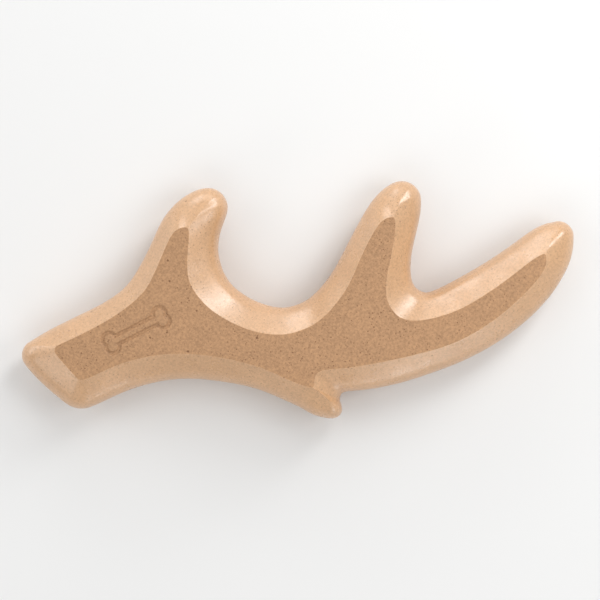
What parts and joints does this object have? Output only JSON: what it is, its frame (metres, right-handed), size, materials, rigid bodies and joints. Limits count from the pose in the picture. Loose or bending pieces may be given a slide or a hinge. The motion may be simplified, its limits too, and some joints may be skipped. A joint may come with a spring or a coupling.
{
  "type": "antler dog chew",
  "caption": "Solid moulded chew shaped like a shed antler: a curved beam with a square-cut end, rising tines, a small spur, flat faces and broad bevels.",
  "frame": {"origin": "under the middle of the outline, on the plane of the back face that the chew lies on", "axes": "+X along the beam from the cut end to the long tine's tip, +Y from the spur towards the middle tine, +Z out of the front face"},
  "size_m": [0.2, 0.086, 0.024],
  "materials": {
    "wood_filled_nylon": "tan nylon filled with wood fibre, speckled brown, matte on the flat faces and satin on the bevels"
  },
  "bodies": {
    "root": {"antler_body": "wood_filled_nylon"}
  },
  "joints": []
}
